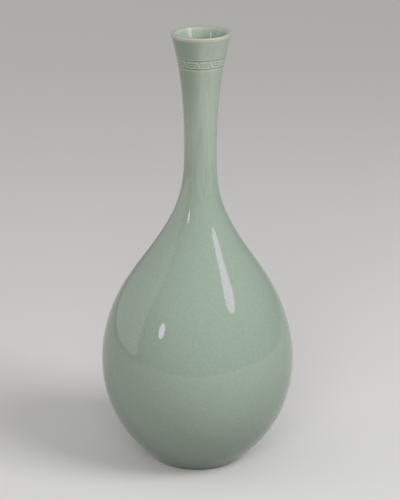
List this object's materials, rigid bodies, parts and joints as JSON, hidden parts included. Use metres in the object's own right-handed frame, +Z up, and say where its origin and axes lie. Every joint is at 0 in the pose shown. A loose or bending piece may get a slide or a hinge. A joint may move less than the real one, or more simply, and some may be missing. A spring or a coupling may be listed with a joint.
{
  "type": "bottle vase",
  "caption": "Tall long-necked celadon bottle vase with a pear-shaped body, a flared mouth and a carved key-fret band under the lip.",
  "frame": {"origin": "on the table, in the middle of the foot ring", "axes": "+Z up along the axis of the vase, -Y towards the viewer of the picture, +X to that viewer's right"},
  "size_m": [0.1608, 0.1608, 0.3672],
  "materials": {
    "stoneware": "bare fired stoneware, pale grey-buff, toasted where it meets the glaze",
    "luting_slip": "fired slip of the same clay, paler and finer",
    "celadon_glaze": "pale grey-green celadon glaze, glossy, thinner and creamier on the lip"
  },
  "bodies": {
    "root": {"lower_body": "stoneware", "upper_body": "stoneware", "neck": "stoneware", "belly_slip": "luting_slip", "neck_slip": "luting_slip", "outer_glaze": "celadon_glaze", "inner_glaze": "celadon_glaze", "base_glaze": "celadon_glaze"}
  },
  "joints": []
}
